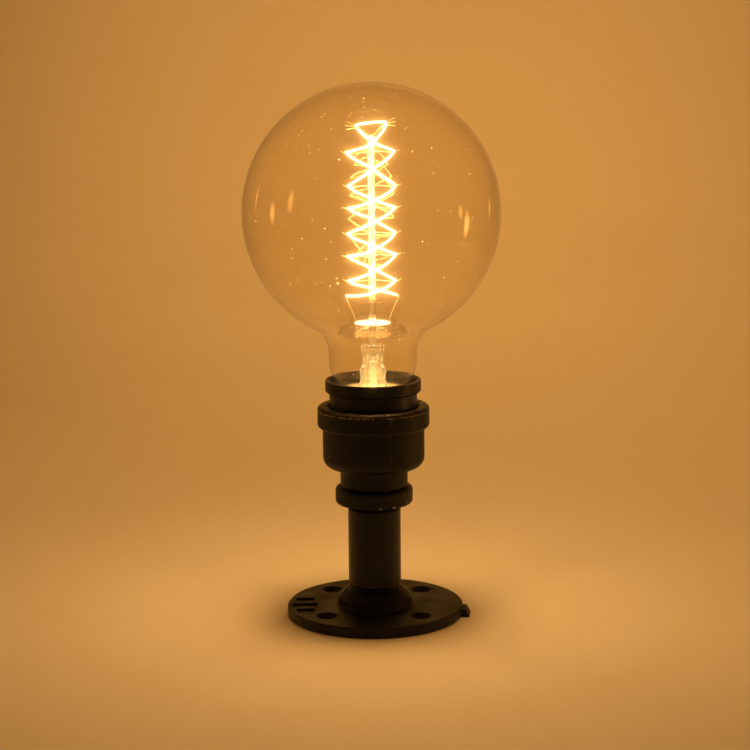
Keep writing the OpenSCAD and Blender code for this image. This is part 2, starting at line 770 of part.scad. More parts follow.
// Height of hook k, counted in quarter turns from the lead-in wires
function hook_z(k) = filament_z + (k < 2 ? k * first_rise / 2 : first_rise + (k - 2) * quarter_rise);

// Place of hook k on the strand that starts at the given angle
function hook_at(k, start) =
    let (r = k == quarters ? loop_r : coil_r)
    [r * cos(start + 90 * k), r * sin(start + 90 * k), hook_z(k)];

// Points of one strand: straight from hook to hook, in equal steps
function strand(start) = [for (k = [0 : quarters - 1], s = [0 : 5])
    hook_at(k, start) + (hook_at(k + 1, start) - hook_at(k, start)) * s / 6];

// One strand up, the loop across the top, the other strand down
filament_path = concat(strand(180), [hook_at(quarters, 180)], [[0, 0, filament_top]],
    [hook_at(quarters, 0)], flip(strand(0)));

// Least distance between points of the filament that aren't neighbours
filament_gap = min([for (i = [0 : len(filament_path) - 7], j = [i + 6 : len(filament_path) - 1])
    norm(filament_path[i] - filament_path[j])]) - filament_d;
echo(filament_gap = filament_gap);

module filament() {
    color("#ffd9a0") tube(filament_path, filament_d / 2, 6, [0, 0, 1]);
}

// Straight wires from the rod to just under each hook of both strands
module support_hooks() {
    reach = filament_d * 0.75 + 2 * seat_gap;
    color("#8d8474") for (k = [1 : quarters - 1], start = [0, 180]) {
        on_rod = hook_z(k) < rod_top - button_h;
        root = [rod_r + seat_gap + (on_rod ? 0 : button_rim), 0, on_rod ? hook_z(k) : rod_top];
        rotate(start + 90 * k) strut(root, [coil_r - reach, 0, hook_z(k)], hook_d / 2);
    }
    color("#8d8474") for (start = [0, 180]) rotate(start)
        strut([rod_r / 2, 0, rod_top + (button_h + hook_d) / 2 + seat_gap],
            [loop_r - hook_d, 0, filament_top - reach - hook_d], hook_d / 2);
}

// Route of a lead-in wire from the pinch past the heat disc to the filament's end
function lead_route(side) = [
    [side * (stem_r - lead_inset), 0, pinch_top + seat_gap],
    [side * (stem_r - lead_inset), 0, pinch_top + lead_bend],
    [side * (disc_r - lead_d), 0, disc_z - lead_bend],
    [side * (disc_r - lead_d), 0, disc_z + lead_bend],
    [side * (coil_r - lead_d), 0, filament_z - lead_bend],
    [side * coil_r, 0, filament_z - filament_d]];

module lead_in_wires() {
    color("#9a8f7a") {
        for (side = [-1, 1]) tube(lead_route(side), lead_d / 2, 8, [0, 1, 0]);
        translate([0, 0, insulator_z])
            cylinder(h = pinch_top - pinch_h - insulator_z - seat_gap, d = lead_d, $fn = 24);
    }
}

module heat_disc() {
    notch = lead_d / 2 + 2 * seat_gap;
    color("#e9dcc0") translate([0, 0, disc_z - disc_t / 2]) difference() {
        cylinder(h = disc_t, r = disc_r);
        translate([0, 0, -cut]) cylinder(h = disc_t + 2 * cut, r = rod_r + seat_gap);
        for (side = [-1, 1]) translate([side * (disc_r - lead_d), 0, -cut])
            cylinder(h = disc_t + 2 * cut, r = notch, $fn = 24);
    }
}

module bulb_cap() {
    color("#b9b2a3") round_thread(cap_r, cap_r - cap_wave, -cap_sheet, thread_z, thread_z + thread_run_in,
        rim_z - flare_h, rim_z, rim_r);
}

// Ring that holds the glass in the cap's rim
module cap_cement() {
    cement_h = flare_h / 2 - 2 * seat_gap;
    color("#8a7d66") translate([0, 0, rim_z - cement_h]) difference() {
        cylinder(h = cement_h, r = (rim_r - cap_sheet) * cos(180 / thread_sides) - seat_gap);
        translate([0, 0, -cut]) cylinder(h = cement_h + 2 * cut, r = seal_r + seat_gap);
    }
}

module cap_insulator() {
    top_r = (cap_r - cap_wave - cap_sheet) * cos(180 / thread_sides) - seat_gap;
    wall = 1.2;
    color("#1b1916") rotate_extrude() polygon([
        [lead_d / 2 + seat_gap, insulator_z], [tip_r + edge_break, insulator_z],
        [top_r, thread_z - edge_break], [top_r, thread_z + 2 * wall], [top_r - wall, thread_z + 2 * wall],
        [top_r - 2 * wall, thread_z], [lead_d / 2 + seat_gap, thread_z]]);
}

module cap_contact() {
    color("#b5b3ac") translate([0, 0, tip_z]) rotate_extrude() polygon(concat(
        [[0, 0]], arc([tip_r - edge_break, edge_break], edge_break, -90, 0, 3),
        [[tip_r, tip_h - seat_gap], [0, tip_h - seat_gap]]));
}

floor_flange();
pipe_nipple();
bell_reducer();
grub_screws();
holder_base();
holder_skirt();
holder_core();
screw_shell();
shell_rivets();
contact_foot();
centre_contact();
contact_rivet();
live_terminal();
neutral_terminal();
terminal_screws();
live_wire();
neutral_wire();
wire_sleeve();
wire_ferrules();
bulb_globe();
bulb_stem();
support_rod();
support_hooks();
filament();
lead_in_wires();
heat_disc();
bulb_cap();
cap_cement();
cap_insulator();
cap_contact();
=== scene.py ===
"""Looks of the pipe light: bulb, fittings, floor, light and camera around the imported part."""
import math
import random

import bmesh
import bpy
from mathutils import Matrix, Vector


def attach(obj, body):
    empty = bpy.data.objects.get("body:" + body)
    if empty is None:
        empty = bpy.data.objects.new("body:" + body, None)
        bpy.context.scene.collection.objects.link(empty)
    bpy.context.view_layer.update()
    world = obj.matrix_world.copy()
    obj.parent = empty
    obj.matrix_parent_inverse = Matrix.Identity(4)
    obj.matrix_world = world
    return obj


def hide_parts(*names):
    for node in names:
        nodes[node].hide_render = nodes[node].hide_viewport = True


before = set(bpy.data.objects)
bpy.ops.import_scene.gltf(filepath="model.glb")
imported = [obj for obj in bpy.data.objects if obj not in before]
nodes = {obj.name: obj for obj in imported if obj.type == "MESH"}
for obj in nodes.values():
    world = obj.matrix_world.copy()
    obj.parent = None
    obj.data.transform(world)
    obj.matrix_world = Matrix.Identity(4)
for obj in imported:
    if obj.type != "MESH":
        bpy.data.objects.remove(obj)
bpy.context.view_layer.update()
scene = bpy.context.scene

MM = 0.001
# Edges that bend more than this stay sharp
SHARP = math.radians(40)

# Bulb, in millimetres, as in the part's source
GLOBE_R = 62.5
NECK_R = 21.6
SEAL_R = 11.5
SEAL_Z = 101.43
SHOULDER_Z = 112.83
SHOULDER_H = 16.0
FILLET_R = 14.0
FILLET_Z = SHOULDER_Z + 18.9
GLASS_T = 0.9
GLOBE_T = 0.5
STEM_R = 5.5
PINCH_Z = 135.93
PINCH_H = 8.0
PINCH_T = 4.5
WAIST_R = 4.8
KNUCKLE_Z = 122.6
KNUCKLE_BULGE = 1.2
KNUCKLE_REACH = 4.2
DOME_Z = PINCH_Z - PINCH_H
FLARE_W = SEAL_R - GLASS_T - 0.05 - WAIST_R
FLARE_STEPS = 24
TUBE_R = 1.8
TUBE_BORE_R = 1.2
BLOW_HOLE_R = 1.9
BLOW_HOLE_BEAD_R = 0.38
BLOW_HOLE_Y = 3.75
DISC_Z = 145.93
DISC_R = 8.8
DISC_T = 0.6
ROD_R = 1.5
ROD_BEAD = 0.28
LEAD_R = 0.25
LEAD_CLAMP_R = 0.6

# Filament and its hooks
COIL_R = 12.8
LOOP_R = 7.5
FILAMENT_Z = 159.43
FIRST_RISE = 6.4
QUARTER_RISE = 6.301
QUARTERS = 14
FILAMENT_R = 0.5
HOOK_R = 0.2
FILAMENT_TOP = FILAMENT_Z + FIRST_RISE + (QUARTERS - 2) * QUARTER_RISE
ROD_TOP = FILAMENT_TOP - 6.2
# How far each pair of hooks was bent up or down from its even place
HOOK_SHIFT = (0, -0.8, 1.2, -0.3, 0.6, -2.2, -1.2, -1.7, -1.7, -4.2, -3.6, -1.7, 0, -2.2, 1.2)
# How far the loop on top leans: its right end up, its left end down
LOOP_LEAN = 0.75
# How uneven the hooks are, in degrees and millimetres
HOOK_SWAY = 5
HOOK_SHORT = (0.8, 1.7)
HOOK_RISE = 0.4
# Least and most that a strand bows out between two hooks, how far it hangs, and its points there
STRAND_BOW = (0.4, 1.8)
STRAND_HANG = 2.0
STRAND_STEPS = 6
# Curl of a hook round the filament: radius, first angle, angle of a step, steps, and tail past it
CURL_R = 0.62
CURL_START = 240
CURL_TURN = 32
CURL_STEPS = 13
HOOK_TAIL = 2.6
# Whiskers at the loop's ends: how far they reach past it, their rise, and the rise of the fan
WHISKER_REACH = 4.6
WHISKER_RISE = 0.8
WHISKER_FAN = 1.9

# Camera, in metres and degrees
CAMERA_AT = (0.00096, -0.887, 0.274)
CAMERA_PITCH = 9.83
CAMERA_ROLL = -0.55
CAMERA_LENS = 88.4
CAMERA_SENSOR = 36.0

# Light: strength of the filament and of the room, watts of the studio lamps, and watts of
# the strip lamps for each square metre of their size
FILAMENT_GLOW = 262.0
ROOM_GLOW = 0.004
FLOOR_LAMP = 19.5
BEND_LAMP = 26.5
LOW_WALL_LAMP = 25.5
WALL_LAMP = 41.5
SIDE_WALL_LAMP = 11.0
STRIP_LAMP = 20.0
STEM_LAMP = 0.02
STEM_LAMP_Z = 0.118
LAMP_SOFT = 0.25
WARM = (1.0, 0.462, 0.102)
# Each strip lamp is three ellipses close behind one another, so that it fades to its edge: size,
# share and how far back
STRIP_FADE = ((1.35, 0.3, 1.01), (1.0, 0.4, 1.005), (0.6, 0.4, 1.0))
# Painted glow of light gathered in the globe's glass round its seal: the height where it ends, and
# its reach
GLOW_TOP_Z = 116.0
GLOW_R = 14.8
# Heights where the painted glow in the stem and in the rod is least and most
STEM_GLOW_Z = (136, 116)
ROD_GLOW_Z = (156, 163)
# Glow of the bright filament in the lens: a tight bloom and a faint wide haze
GLARES = ({"Threshold": 2.0, "Strength": 0.62, "Size": 0.035},
          {"Threshold": 4.0, "Strength": 0.1, "Size": 0.15})

# Bright broken line round the reducer's mouth, and paint rubbed off its lower band: height and
# width in metres, and the level of the noise from which each shows
MOUTH_LINE = (0.1035, 0.0001, 0.46)
BAND_SCUFF = (0.0575, 0.0004, 0.6)

# Floor that bends up into a round wall, in millimetres
FLOOR_FLAT = 750.0
FLOOR_BEND = 500.0
WALL_TOP = 2500.0

GLOBE_Z = FILLET_Z + math.sqrt((GLOBE_R + FILLET_R) ** 2 - (NECK_R + FILLET_R) ** 2)


# Meshes


def arc(cx, cz, rx, rz, a0, a1, steps):
    """Points on an arc of an ellipse in the plane of radius and height."""
    angles = [math.radians(a0 + (a1 - a0) * i / steps) for i in range(steps + 1)]
    return [(cx + rx * math.cos(a), cz + rz * math.sin(a)) for a in angles]


def lathe(bm, outline, steps, closed=True):
    """Spins an outline of (radius, height) points in millimetres about the upright axis."""
    verts = [bm.verts.new((r * MM, 0, z * MM)) for r, z in outline]
    pairs = list(zip(verts, verts[1:])) + ([(verts[-1], verts[0])] if closed else [])
    edges = [bm.edges.new(p) for p in pairs]
    before = len(bm.faces)
    bmesh.ops.spin(bm, geom=verts + edges, cent=(0, 0, 0), axis=(0, 0, 1),
                   angle=2 * math.pi, steps=steps, use_merge=True)
    bm.faces.ensure_lookup_table()
    made = {v for f in bm.faces[before:] for v in f.verts}
    bmesh.ops.remove_doubles(bm, verts=list(made), dist=1e-6)


def directions(path):
    """Unit directions along a path, at each of its points."""
    ends = [(path[max(i - 1, 0)], path[min(i + 1, len(path) - 1)]) for i in range(len(path))]
    return [(b - a).normalized() for a, b in ends]


def lay_wire(bm, path, radius, sides=8):
    """Adds a round wire with closed ends along a path of points in millimetres."""
    path = [Vector(p) * MM for p in path]
    ways = directions(path)
    turn = Vector((0, 0, 1)).rotation_difference(ways[0]).to_matrix().to_4x4()
    ring = bmesh.ops.create_circle(bm, cap_ends=True, segments=sides, radius=radius * MM,
                                   matrix=Matrix.Translation(path[0]) @ turn)["verts"]
    edges = {e for v in ring for e in v.link_edges}
    for i in range(1, len(path)):
        made = bmesh.ops.extrude_edge_only(bm, edges=list(edges))["geom"]
        ring = {g for g in made if isinstance(g, bmesh.types.BMVert)}
        edges = {g for g in made if isinstance(g, bmesh.types.BMEdge) and ring.issuperset(g.verts)}
        turn = ways[i - 1].rotation_difference(ways[i]).to_matrix().to_4x4()
        move = Matrix.Translation(path[i]) @ turn @ Matrix.Translation(-path[i - 1])
        bmesh.ops.transform(bm, matrix=move, verts=list(ring))
    bmesh.ops.contextual_create(bm, geom=list(edges))


def soften(path, rounds=2):
    """Cuts the corners of a path, so that a wire bends instead of kinking."""
    path = [Vector(p) for p in path]
    for _ in range(rounds):
        cut = [path[0]]
        for a, b in zip(path, path[1:]):
            cut += [a.lerp(b, 0.25), a.lerp(b, 0.75)]
        path = cut + [path[-1]]
    return path


def to_object(name, bm, material):
    """Puts the mesh in the scene as an object with smooth faces."""
    for face in bm.faces:
        face.smooth = True
    mesh = bpy.data.meshes.new(name)
    bm.to_mesh(mesh)
    bm.free()
    mesh.materials.append(material)
    piece = bpy.data.objects.new(name, mesh)
    scene.collection.objects.link(piece)
    return piece


def finish_piece(name, bm, material, body, replaced):
    """Makes the mesh an object that rides on a body, and hides the imported parts that it stands
    in for.
    """
    bmesh.ops.recalc_face_normals(bm, faces=bm.faces)
    for edge in bm.edges:
        if len(edge.link_faces) == 2 and edge.calc_face_angle() > SHARP:
            edge.smooth = False
    piece = to_object(name, bm, material)
    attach(piece, body)
    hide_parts(*replaced)


# Shader groups


def put(tree, kind, inputs=None, **settings):
    """Adds a shader node, sets its options and fills or links its inputs."""
    node = tree.nodes.new(kind)
    for key, value in settings.items():
        setattr(node, key, value)
    for key, value in (inputs or {}).items():
        if isinstance(value, bpy.types.NodeSocket):
            tree.links.new(value, node.inputs[key])
        else:
            node.inputs[key].default_value = value
    return node


def maths(tree, operation, *values):
    """Result of a maths node."""
    return put(tree, "ShaderNodeMath", dict(enumerate(values)), operation=operation).outputs[0]


def spread(tree, value, low, high, to_low=0.0, to_high=1.0):
    """The value, with the range from low to high spread over another range."""
    ends = {"From Min": low, "From Max": high, "To Min": to_low, "To Max": to_high}
    return put(tree, "ShaderNodeMapRange", {"Value": value, **ends}).outputs["Result"]


def place_on(tree):
    """Place on the piece, in metres."""
    return put(tree, "ShaderNodeTexCoord").outputs["Object"]


def height_of(tree, place):
    """Height of a place, in metres."""
    return put(tree, "ShaderNodeSeparateXYZ", {0: place}).outputs["Z"]


def noise(tree, place, scale, detail):
    """Soft noise, about 0.5 on the whole."""
    inputs = {"Vector": place, "Scale": scale, "Detail": detail}
    return put(tree, "ShaderNodeTexNoise", inputs).outputs["Fac"]


def new_group(name, inputs, output):
    """A shader group with float inputs given as name: default, and one float output."""
    tree = bpy.data.node_groups.new(name, "ShaderNodeTree")
    for key, value in inputs.items():
        socket = tree.interface.new_socket(key, in_out="INPUT", socket_type="NodeSocketFloat")
        socket.default_value = value
    tree.interface.new_socket(output, in_out="OUTPUT", socket_type="NodeSocketFloat")
    return tree, put(tree, "NodeGroupInput").outputs, put(tree, "NodeGroupOutput").inputs


def mottle_group():
    """Soft patches over a surface, from 0 to 1."""
    tree, given, out = new_group(
        "mottle", {"Scale": 100, "Detail": 4, "Low": 0.35, "High": 0.65}, "Patches")
    soft = noise(tree, place_on(tree), given["Scale"], given["Detail"])
    tree.links.new(spread(tree, soft, given["Low"], given["High"]), out["Patches"])
    return tree


def cast_skin_group():
    """Height of sand-cast skin: fine grain and soft lumps."""
    tree, given, out = new_group(
        "cast_skin", {"Grain": 900, "Lumps": 120, "Grain share": 0.5}, "Height")
    place = place_on(tree)
    grain = noise(tree, place, given["Grain"], 3.0)
    lumps = noise(tree, place, given["Lumps"], 2.0)
    fine = maths(tree, "MULTIPLY", grain, given["Grain share"])
    tree.links.new(maths(tree, "ADD", fine, lumps), out["Height"])
    return tree


def edge_wear_group():
    """Where edges are rubbed: 1 on a bare edge, 0 on the plain surface."""
    tree, given, out = new_group(
        "edge_wear", {"Radius": 0.0006, "Breakup": 400, "Low": 0.02, "High": 0.12}, "Bare")
    soft = put(tree, "ShaderNodeBevel", {"Radius": given["Radius"]}, samples=6)
    plain = put(tree, "ShaderNodeNewGeometry")
    normals = {0: soft.outputs["Normal"], 1: plain.outputs["True Normal"]}
    dot = put(tree, "ShaderNodeVectorMath", normals, operation="DOT_PRODUCT").outputs["Value"]
    edge = spread(tree, maths(tree, "SUBTRACT", 1.0, dot), given["Low"], given["High"])
    gaps = spread(tree, noise(tree, place_on(tree), given["Breakup"], 4.0), 0.48, 0.62)
    tree.links.new(maths(tree, "MULTIPLY", edge, gaps), out["Bare"])
    return tree


def specks_group():
    """Scattered round specks: 1 on a speck."""
    tree, given, out = new_group("specks", {"Scale": 300, "Size": 0.12, "Share": 0.1}, "Speck")
    spots = {"Vector": place_on(tree), "Scale": given["Scale"]}
    cells = put(tree, "ShaderNodeTexVoronoi", spots).outputs
    near = maths(tree, "LESS_THAN", cells["Distance"], given["Size"])
    dice = put(tree, "ShaderNodeSeparateColor", {0: cells["Color"]}).outputs[0]
    picked = maths(tree, "LESS_THAN", dice, given["Share"])
    tree.links.new(maths(tree, "MULTIPLY", near, picked), out["Speck"])
    return tree


def wear_and_glint_ring_group():
    """Broken ring along a level edge: 1 near the height given. It marks bright lines and rubbed
    paint on iron, and paints glints round glass rims.
    """
    tree, given, out = new_group(
        "wear_and_glint_ring", {"Height": 0.1, "Width": 0.0003, "Breakup": 500, "Low": 0.5, "High": 0.6},
        "Bare")
    place = place_on(tree)
    off = maths(tree, "SUBTRACT", height_of(tree, place), given["Height"])
    near = maths(tree, "LESS_THAN", maths(tree, "ABSOLUTE", off), given["Width"])
    gaps = spread(tree, noise(tree, place, given["Breakup"], 4.0), given["Low"], given["High"])
    tree.links.new(maths(tree, "MULTIPLY", near, gaps), out["Bare"])
    return tree


def streaks_group():
    """Drawn or brushed streaks along the upright axis, from 0 to 1."""
    tree, given, out = new_group("streaks", {"Across": 900, "Along": 20}, "Streaks")
    scales = {0: given["Across"], 1: given["Across"], 2: given["Along"]}
    scale = put(tree, "ShaderNodeCombineXYZ", scales).outputs[0]
    drawn = {0: place_on(tree), 1: scale}
    long = put(tree, "ShaderNodeVectorMath", drawn, operation="MULTIPLY").outputs[0]
    tree.links.new(noise(tree, long, 1.0, 3.0), out["Streaks"])
    return tree


mottle, cast_skin, edge_wear = mottle_group(), cast_skin_group(), edge_wear_group()
specks, wear_and_glint_ring, streaks = specks_group(), wear_and_glint_ring_group(), streaks_group()


# Materials


class Finish:
    """A material with one Principled shader, built up from the groups."""

    def __init__(self, name, **sockets):
        self.material = bpy.data.materials.new(name)
        self.material.use_nodes = True
        self.tree = self.material.node_tree
        self.shader = self.tree.nodes["Principled BSDF"]
        for key, value in sockets.items():
            self.shader.inputs[key.replace("_", " ")].default_value = value

    def group(self, tree, **inputs):
        """Places a shared group and returns its output."""
        node = self.tree.nodes.new("ShaderNodeGroup")
        node.node_tree = tree
        for key, value in inputs.items():
            node.inputs[key.replace("_", " ")].default_value = value
        return node.outputs[0]

    def blend(self, mask, a, b):
        """Colour a turning to colour b where the mask is 1."""
        node = put(self.tree, "ShaderNodeMix", data_type="RGBA")
        self.tree.links.new(mask, node.inputs["Factor"])
        for socket, value in ((node.inputs[6], a), (node.inputs[7], b)):
            if isinstance(value, bpy.types.NodeSocket):
                self.tree.links.new(value, socket)
            else:
                socket.default_value = (*value, 1)
        return node.outputs[2]

    def ramp(self, mask, a, b):
        """Number a turning to number b where the mask is 1."""
        return spread(self.tree, mask, 0.0, 1.0, a, b)

    def link(self, socket, value):
        """Feeds an input of the shader."""
        self.tree.links.new(value, self.shader.inputs[socket])

    def bump(self, height, distance):
        """Raises the surface by the height times the distance."""
        inputs = {"Height": height, "Distance": distance, "Strength": 1.0}
        self.link("Normal", put(self.tree, "ShaderNodeBump", inputs).outputs["Normal"])


def black_iron(name, rings=()):
    """Black paint over sand-cast iron, with bright broken rings at the given heights in metres."""
    f = Finish(name, IOR=1.45, Specular_IOR_Level=0.32)
    patches = f.group(mottle, Scale=70)
    bare = f.group(edge_wear, Radius=0.0005, Breakup=260)
    nicks = f.group(specks, Scale=420, Size=0.16, Share=0.012)
    paint = f.blend(patches, (0.003, 0.0027, 0.0024), (0.007, 0.006, 0.0053))
    worn = f.blend(bare, paint, (0.09, 0.075, 0.06))
    # Bright broken rings at the given heights, such as the line round the reducer's mouth and
    # rubbed paint on its lower band
    for height, width, low in rings:
        ring_mark = f.group(wear_and_glint_ring, Height=height, Width=width, Breakup=900, Low=low,
                        High=low + 0.06)
        worn = f.blend(ring_mark, worn, (0.8, 0.68, 0.5))
    f.link("Base Color", f.blend(nicks, worn, (0.45, 0.4, 0.33)))
    f.link("Roughness", f.ramp(patches, 0.4, 0.56))
    f.bump(f.group(cast_skin, Grain=850, Lumps=140, Grain_share=0.35), 0.00035)
    return f.material


def black_pipe():
    """Black paint over drawn pipe."""
    f = Finish("black_painted_pipe", IOR=1.45, Specular_IOR_Level=0.3)
    patches = f.group(mottle, Scale=110)
    lines = f.group(streaks, Across=700, Along=14)
    bare = f.group(edge_wear, Radius=0.0004, Breakup=500)
    nicks = f.group(specks, Scale=380, Size=0.14, Share=0.01)
    paint = f.blend(patches, (0.0035, 0.003, 0.0027), (0.008, 0.0068, 0.006))
    worn = f.blend(bare, paint, (0.1, 0.085, 0.07))
    f.link("Base Color", f.blend(nicks, worn, (0.4, 0.35, 0.3)))
    f.link("Roughness", f.ramp(lines, 0.3, 0.5))
    f.bump(lines, 0.0001)
    return f.material


def black_phenolic():
    """Moulded black casing, a little dusty."""
    f = Finish("black_phenolic_moulding", IOR=1.5, Specular_IOR_Level=0.35)
    patches = f.group(mottle, Scale=160)
    bare = f.group(edge_wear, Radius=0.0004, Breakup=600)
    dust = f.group(specks, Scale=900, Size=0.2, Share=0.03)
    body = f.blend(patches, (0.0035, 0.003, 0.0027), (0.008, 0.0068, 0.006))
    rubbed = f.blend(bare, body, (0.05, 0.042, 0.035))
    f.link("Base Color", f.blend(dust, rubbed, (0.12, 0.1, 0.08)))
    f.link("Roughness", f.ramp(patches, 0.3, 0.44))
    f.bump(f.group(cast_skin, Grain=1500, Lumps=260, Grain_share=0.3), 0.00012)
    return f.material


def porcelain():
    """Cream glaze with small pits."""
    f = Finish("glazed_porcelain", IOR=1.5, Coat_Weight=0.6, Coat_Roughness=0.08)
    patches = f.group(mottle, Scale=120)
    pits = f.group(specks, Scale=700, Size=0.18, Share=0.05)
    glaze = f.blend(patches, (0.68, 0.63, 0.54), (0.78, 0.74, 0.66))
    f.link("Base Color", f.blend(pits, glaze, (0.3, 0.26, 0.2)))
    f.link("Roughness", f.ramp(patches, 0.22, 0.4))
    f.bump(f.group(cast_skin, Grain=1100, Lumps=300, Grain_share=0.3), 0.00012)
    return f.material


def metal(name, bright, dull, smooth, rough, along=20):
    """Sheet or turned metal with tarnish patches and fine drawn lines."""
    f = Finish(name, Metallic=1.0)
    patches = f.group(mottle, Scale=190, Low=0.4, High=0.75)
    lines = f.group(streaks, Across=1400, Along=along)
    f.link("Base Color", f.blend(patches, bright, dull))
    f.link("Roughness", f.ramp(patches, smooth, rough))
    f.bump(lines, 0.00006)
    return f.material


def painted_glow_wire(name, glow):
    """Nickel wire with a painted glow along all of it, for the filament's light on it."""
    f = Finish(name, Metallic=1.0, Emission_Strength=glow)
    patches = f.group(mottle, Scale=230)
    f.link("Base Color", f.blend(patches, (0.52, 0.46, 0.38), (0.34, 0.29, 0.23)))
    f.link("Roughness", f.ramp(patches, 0.3, 0.5))
    # Painted glow: the emission stands in for the filament's light falling on the wire
    f.link("Emission Color", f.blend(patches, (1.0, 0.48, 0.12), (0.8, 0.3, 0.06)))
    return f.material


def plastic(name, light, dark):
    """Soft wire insulation with a slight grain."""
    f = Finish(name, IOR=1.5)
    patches = f.group(mottle, Scale=260)
    f.link("Base Color", f.blend(patches, light, dark))
    f.link("Roughness", f.ramp(patches, 0.4, 0.55))
    f.bump(f.group(cast_skin, Grain=2500, Lumps=500, Grain_share=0.4), 0.00005)
    return f.material


def braided_sleeve():
    """Pale woven sleeve."""
    f = Finish("braided_glass_sleeve", Sheen_Weight=0.3)
    thread = {"Vector": place_on(f.tree), "Scale": 420.0, "Distortion": 1.5}
    over, under = (put(f.tree, "ShaderNodeTexWave", thread, bands_direction=way).outputs["Fac"]
                   for way in ("X", "Z"))
    weave = maths(f.tree, "MULTIPLY", over, under)
    f.link("Base Color", f.blend(weave, (0.5, 0.46, 0.4), (0.74, 0.71, 0.65)))
    f.link("Roughness", f.ramp(weave, 0.75, 0.6))
    f.bump(weave, 0.0003)
    return f.material


def cement():
    """Rough cement between glass and cap."""
    f = Finish("lamp_cement")
    patches = f.group(mottle, Scale=300)
    f.link("Base Color", f.blend(patches, (0.3, 0.25, 0.18), (0.46, 0.4, 0.31)))
    f.link("Roughness", f.ramp(patches, 0.8, 0.95))
    f.bump(f.group(cast_skin, Grain=1500, Lumps=500), 0.0003)
    return f.material


def black_glass():
    """Smooth black glass of the cap's insulator."""
    f = Finish("black_cap_glass", IOR=1.52)
    patches = f.group(mottle, Scale=240)
    f.link("Base Color", f.blend(patches, (0.004, 0.004, 0.004), (0.012, 0.011, 0.011)))
    f.link("Roughness", f.ramp(patches, 0.08, 0.22))
    f.bump(f.group(cast_skin, Grain=800, Lumps=220, Grain_share=0.1), 0.0002)
    return f.material


def mica():
    """Heat disc with a painted glow for the filament's light close above it, strongest on its top.
    """
    f = Finish("mica_sheet", IOR=1.58, Emission_Strength=3.0)
    patches = f.group(mottle, Scale=350, Low=0.3, High=0.7)
    f.link("Base Color", f.blend(patches, (0.72, 0.66, 0.55), (0.86, 0.82, 0.74)))
    height = height_of(f.tree, place_on(f.tree))
    # Painted light: the glow rises from a tenth on the underside to full on the top, where the
    # filament would light it
    top = spread(f.tree, height, (DISC_Z - DISC_T / 2) * MM, (DISC_Z + DISC_T / 2) * MM, 0.1)
    lit = f.blend(patches, (0.85, 0.48, 0.16), (1.0, 0.72, 0.38))
    f.link("Emission Color", f.blend(top, (0, 0, 0), lit))
    f.link("Roughness", f.ramp(patches, 0.18, 0.45))
    f.bump(f.group(cast_skin, Grain=1500, Lumps=400, Grain_share=0.3), 0.0002)
    return f.material


def clear_to_shadows(f):
    """Lets light from inside the bulb through the glass, so that it casts no dark shadow."""
    path = put(f.tree, "ShaderNodeLightPath")
    light = maths(f.tree, "MAXIMUM", path.outputs["Is Shadow Ray"], path.outputs["Is Diffuse Ray"])
    clear = put(f.tree, "ShaderNodeBsdfTransparent", {"Color": (1, 0.97, 0.92, 1)})
    both = {0: light, 1: f.shader.outputs["BSDF"], 2: clear.outputs["BSDF"]}
    mix = put(f.tree, "ShaderNodeMixShader", both).outputs["Shader"]
    f.tree.links.new(mix, f.tree.nodes["Material Output"].inputs["Surface"])


def amber_glass():
    """Globe glass with dust on it. Emission paints light on the dust and the fine specks, a faint
    glow over all the glass, and a glow of light gathered in the glass near its seal.
    """
    f = Finish("amber_lamp_glass", IOR=1.5, Transmission_Weight=1.0, Emission_Strength=0.72)
    patches = f.group(mottle, Scale=14, Low=0.2, High=0.8)
    dust = f.group(specks, Scale=185, Size=0.07, Share=0.5)
    fine = f.group(specks, Scale=430, Size=0.09, Share=0.3)
    place = place_on(f.tree)
    level = {0: place, 1: (1, 1, 0)}
    flat = put(f.tree, "ShaderNodeVectorMath", level, operation="MULTIPLY").outputs[0]
    radius = put(f.tree, "ShaderNodeVectorMath", {0: flat}, operation="LENGTH").outputs["Value"]
    low = spread(f.tree, height_of(f.tree, place), GLOW_TOP_Z * MM, SHOULDER_Z * MM)
    near = spread(f.tree, radius, GLOW_R * MM, (SEAL_R + 0.8) * MM)
    seal = maths(f.tree, "MULTIPLY", low, near)
    # Painted glow: faint over all the glass, strongest in the glass near the seal
    lit = f.blend(seal, (0.009, 0.0055, 0.0022), (1.0, 0.5, 0.12))
    # Painted glints on the fine specks
    lit = f.blend(fine, lit, (0.15, 0.095, 0.04))
    # Painted light on the dust, which the glass shader cannot light
    dust_glow = f.blend(patches, (0.14, 0.085, 0.035), (0.46, 0.29, 0.12))
    f.link("Emission Color", f.blend(dust, lit, dust_glow))
    f.link("Base Color", f.blend(patches, (1.0, 0.935, 0.80), (1.0, 0.95, 0.83)))
    f.link("Roughness", f.ramp(dust, 0.0, 0.6))
    clear_to_shadows(f)
    return f.material


